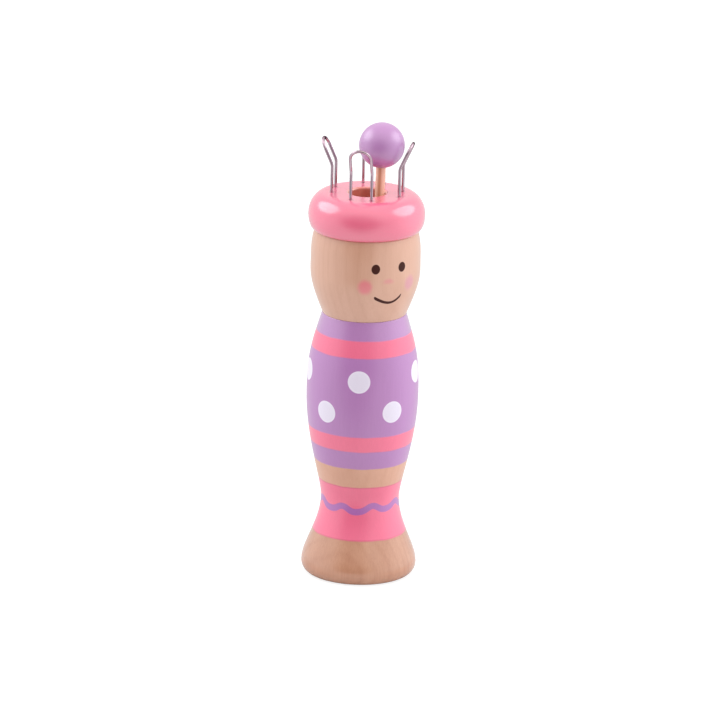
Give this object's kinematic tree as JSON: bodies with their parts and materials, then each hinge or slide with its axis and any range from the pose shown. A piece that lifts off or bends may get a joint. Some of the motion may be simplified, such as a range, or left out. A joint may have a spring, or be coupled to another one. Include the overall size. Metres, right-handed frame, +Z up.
{
  "type": "i-cord maker",
  "caption": "Turned wooden knitting dolly with a painted figure, a ring-shaped hat carrying wire loops, a bore from top to foot and a loose ball-ended needle.",
  "frame": {"origin": "on the bore's axis, in the plane of the foot that the dolly stands on", "axes": "+Z up along the bore's axis; -Y the way the painted face looks; +X to the right of someone looking at the face"},
  "size_m": [0.0432, 0.0432, 0.1724],
  "materials": {
    "pink_lacquer": "gloss lacquer over turned beech",
    "painted_head": "clear lacquered beech with a painted face",
    "painted_body": "lilac and pink lacquer with white dots over turned beech, bare wood bands under clear lacquer",
    "wire": "bright plated steel wire",
    "dowel": "smooth hardwood dowel",
    "lilac_lacquer": "satin lilac lacquer"
  },
  "bodies": {
    "dolly": {"hat": "pink_lacquer", "head": "painted_head", "body": "painted_body", "staple_front": "wire", "staple_right": "wire", "staple_back": "wire", "staple_left": "wire"},
    "needle": {"needle_shaft": "dowel", "needle_ball": "lilac_lacquer"}
  },
  "joints": [
    {"name": "needle_lift", "type": "slide", "parent": "dolly", "child": "needle", "axis": [0.0188, -0.0092, 0.9998], "range_m": [-0.0035, 0.15]}
  ]
}
